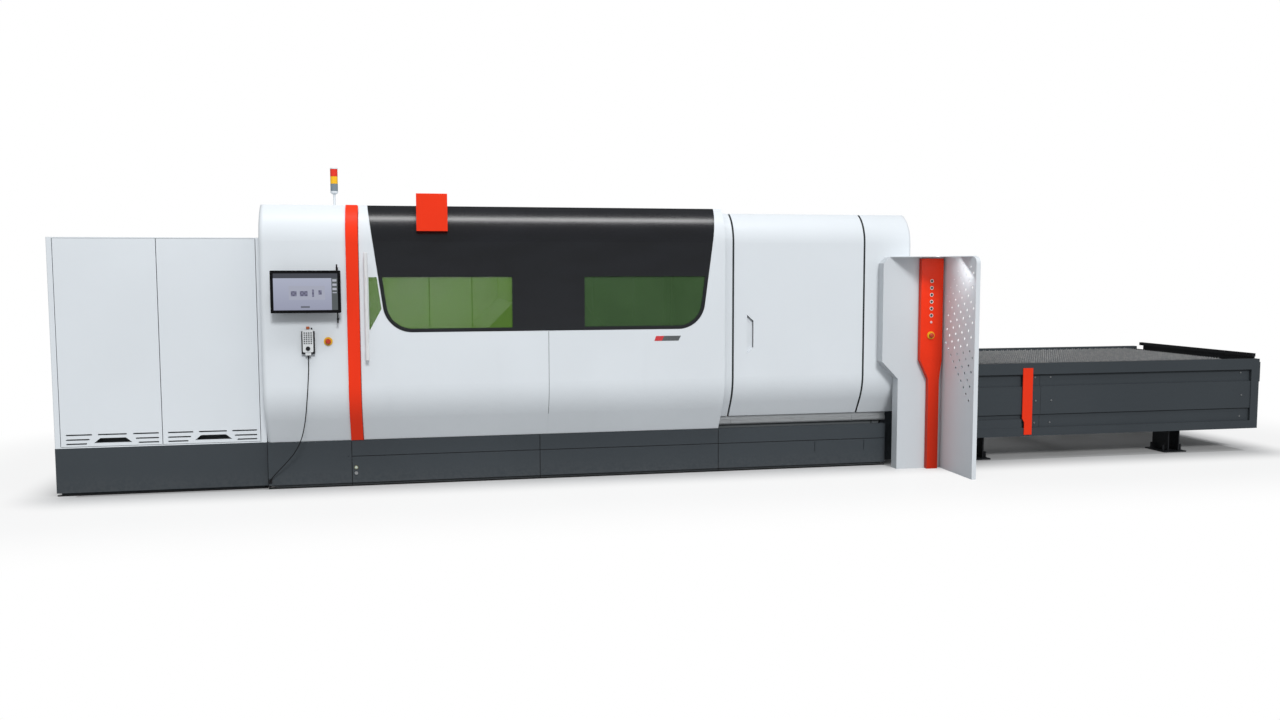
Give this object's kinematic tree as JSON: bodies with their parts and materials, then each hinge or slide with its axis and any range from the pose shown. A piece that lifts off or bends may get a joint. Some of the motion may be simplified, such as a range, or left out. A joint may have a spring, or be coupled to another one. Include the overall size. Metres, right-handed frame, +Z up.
{
  "type": "fiber laser cutting machine",
  "caption": "Enclosed sheet-metal laser cutter: curved sliding door with green windows, laser cabinet, perforated operator portal and pallet changer table.",
  "frame": {"origin": "on the floor, under the centre of the machine's overall box", "axes": "+X to the right along the machine as the operator sees it, +Y away from the operator, +Z up"},
  "size_m": [11.33, 3.26, 2.726],
  "materials": {
    "white_paint": "fine-textured white powder coat",
    "dark_paint": "fine-textured dark grey powder coat",
    "black_paint": "satin black paint",
    "red_paint": "semi-gloss red-orange paint",
    "frame_paint": "grey paint on welded steel",
    "dark_cover": "polished dark cover sheet",
    "green_window": "green laser-safety pane",
    "rail_steel": "ground steel rail",
    "zinc_steel": "zinc-plated steel",
    "slat_steel": "scorched mild steel",
    "handle_metal": "pale anodised aluminium",
    "head_metal": "anodised aluminium",
    "black_plastic": "matt black plastic",
    "yellow_plastic": "yellow plastic",
    "red_plastic": "red plastic",
    "green_plastic": "green plastic",
    "pale_plastic": "pale plastic",
    "cord_rubber": "matt black cable sheath"
  },
  "bodies": {
    "machine": {"machine_bed": "frame_paint", "housing_frame": "frame_paint", "front_plinth": "dark_paint", "left_shell": "white_paint", "red_stripe_cover": "red_paint", "roof_panel": "white_paint", "rear_panel": "white_paint", "right_end_wall": "white_paint", "right_post_panel": "white_paint", "right_end_panel": "white_paint", "door_guide_rail": "rail_steel", "bridge_rails": "rail_steel", "beacon_stem": "pale_plastic", "beacon_lenses": "red_plastic", "monitor_arm": "zinc_steel", "estop_collars": "yellow_plastic", "pendant_holder": "black_plastic", "pendant_body": "pale_plastic", "pendant_cord": "cord_rubber", "cord_gland": "black_plastic", "cabinet_shell": "white_paint", "cabinet_plinth": "dark_paint", "laser_source": "frame_paint", "portal_left_wing": "white_paint", "portal_right_wing": "white_paint", "portal_canopy": "white_paint", "portal_column": "red_paint", "table_frame": "dark_paint", "table_stripe": "red_paint", "table_end_rail": "black_paint", "table_feet": "black_paint"},
    "front_door": {"front_door_panel": "white_paint", "front_door_glass": "dark_cover", "window_left": "green_window", "window_right": "green_window", "window_small": "green_window", "front_door_handle": "handle_metal", "sign_plate": "red_paint"},
    "side_door": {"side_door": "white_paint"},
    "cabinet_door_left": {"cabinet_door_left": "white_paint"},
    "cabinet_door_right": {"cabinet_door_right": "white_paint"},
    "monitor": {"monitor_case": "black_plastic"},
    "panel_estop": {"panel_estop_button": "red_plastic"},
    "dial": {"pendant_dial": "black_plastic"},
    "pendant_stop": {"pendant_estop": "red_plastic"},
    "key": {"key_switch": "zinc_steel"},
    "portal_estop": {"portal_estop_button": "red_plastic"},
    "bridge": {"bridge_beam": "frame_paint"},
    "carriage": {"carriage": "black_paint"},
    "head": {"cutting_head": "head_metal"},
    "lift": {"lift_frame": "frame_paint"},
    "outer_pallet": {"pallet_outer": "slat_steel"},
    "inner_pallet": {"pallet_inner": "slat_steel"},
    "portal_button_1": {"portal_button_1": "black_plastic"},
    "portal_button_2": {"portal_button_2": "black_plastic"},
    "portal_button_3": {"portal_button_3": "black_plastic"},
    "portal_button_4": {"portal_button_4": "black_plastic"},
    "portal_button_5": {"portal_button_5": "black_plastic"},
    "portal_button_6": {"portal_button_6": "black_plastic"},
    "portal_button_7": {"portal_button_7": "pale_plastic"}
  },
  "joints": [
    {"name": "front_door_slide", "type": "slide", "parent": "machine", "child": "front_door", "axis": [-1, 0, 0], "range_m": [-1.45, 0]},
    {"name": "side_door_hinge", "type": "hinge", "parent": "machine", "child": "side_door", "pos_m": [1.275, -0.89, 1.2], "axis": [0, 0, 1], "range_deg": [0, 95]},
    {"name": "cabinet_door_left_hinge", "type": "hinge", "parent": "machine", "child": "cabinet_door_left", "pos_m": [-5.619, -0.72, 1.2], "axis": [0, 0, -1], "range_deg": [0, 100]},
    {"name": "cabinet_door_right_hinge", "type": "hinge", "parent": "machine", "child": "cabinet_door_right", "pos_m": [-4.061, -0.72, 1.2], "axis": [0, 0, 1], "range_deg": [0, 90]},
    {"name": "monitor_hinge", "type": "hinge", "parent": "machine", "child": "monitor", "pos_m": [-3.387, -1.035, 1.676], "axis": [0, 0, 1], "range_deg": [0, 60]},
    {"name": "panel_estop_press", "type": "slide", "parent": "machine", "child": "panel_estop", "axis": [0, 1, 0], "range_m": [0, 0.005], "stiffness_N_per_m": 2000, "springref_m": -0.004},
    {"name": "dial_turn", "type": "hinge", "parent": "machine", "child": "dial", "pos_m": [-3.63, -1.02, 1.205], "axis": [0, -1, 0], "continuous": true},
    {"name": "pendant_estop_press", "type": "slide", "parent": "machine", "child": "pendant_stop", "axis": [0, 0, -1], "range_m": [0, 0.004], "stiffness_N_per_m": 1500, "springref_m": -0.004},
    {"name": "key_turn", "type": "hinge", "parent": "machine", "child": "key", "pos_m": [-3.282, -0.775, 0.112], "axis": [0, 1, 0], "range_deg": [0, 90]},
    {"name": "portal_estop_press", "type": "slide", "parent": "machine", "child": "portal_estop", "axis": [0, 1, 0], "range_m": [0, 0.005], "stiffness_N_per_m": 2000, "springref_m": -0.004},
    {"name": "portal_button_1_press", "type": "slide", "parent": "machine", "child": "portal_button_1", "axis": [0, 1, 0], "range_m": [0, 0.003], "stiffness_N_per_m": 1200, "springref_m": -0.002},
    {"name": "portal_button_2_press", "type": "slide", "parent": "machine", "child": "portal_button_2", "axis": [0, 1, 0], "range_m": [0, 0.003], "stiffness_N_per_m": 1200, "springref_m": -0.002},
    {"name": "portal_button_3_press", "type": "slide", "parent": "machine", "child": "portal_button_3", "axis": [0, 1, 0], "range_m": [0, 0.003], "stiffness_N_per_m": 1200, "springref_m": -0.002},
    {"name": "portal_button_4_press", "type": "slide", "parent": "machine", "child": "portal_button_4", "axis": [0, 1, 0], "range_m": [0, 0.003], "stiffness_N_per_m": 1200, "springref_m": -0.002},
    {"name": "portal_button_5_press", "type": "slide", "parent": "machine", "child": "portal_button_5", "axis": [0, 1, 0], "range_m": [0, 0.003], "stiffness_N_per_m": 1200, "springref_m": -0.002},
    {"name": "portal_button_6_press", "type": "slide", "parent": "machine", "child": "portal_button_6", "axis": [0, 1, 0], "range_m": [0, 0.003], "stiffness_N_per_m": 1200, "springref_m": -0.002},
    {"name": "portal_button_7_press", "type": "slide", "parent": "machine", "child": "portal_button_7", "axis": [0, 1, 0], "range_m": [0, 0.003], "stiffness_N_per_m": 1200, "springref_m": -0.002},
    {"name": "bridge_travel", "type": "slide", "parent": "machine", "child": "bridge", "axis": [1, 0, 0], "range_m": [-0.94, 2.47]},
    {"name": "carriage_travel", "type": "slide", "parent": "bridge", "child": "carriage", "axis": [0, 1, 0], "range_m": [-0.57, 0.57]},
    {"name": "head_travel", "type": "slide", "parent": "carriage", "child": "head", "axis": [0, 0, 1], "range_m": [-0.16, 0]},
    {"name": "lift_travel", "type": "slide", "parent": "machine", "child": "lift", "axis": [0, 0, 1], "range_m": [-0.18, 0]},
    {"name": "outer_pallet_travel", "type": "slide", "parent": "lift", "child": "outer_pallet", "axis": [-1, 0, 0], "range_m": [0, 4.2]},
    {"name": "inner_pallet_travel", "type": "slide", "parent": "machine", "child": "inner_pallet", "axis": [1, 0, 0], "range_m": [0, 4.2]}
  ]
}
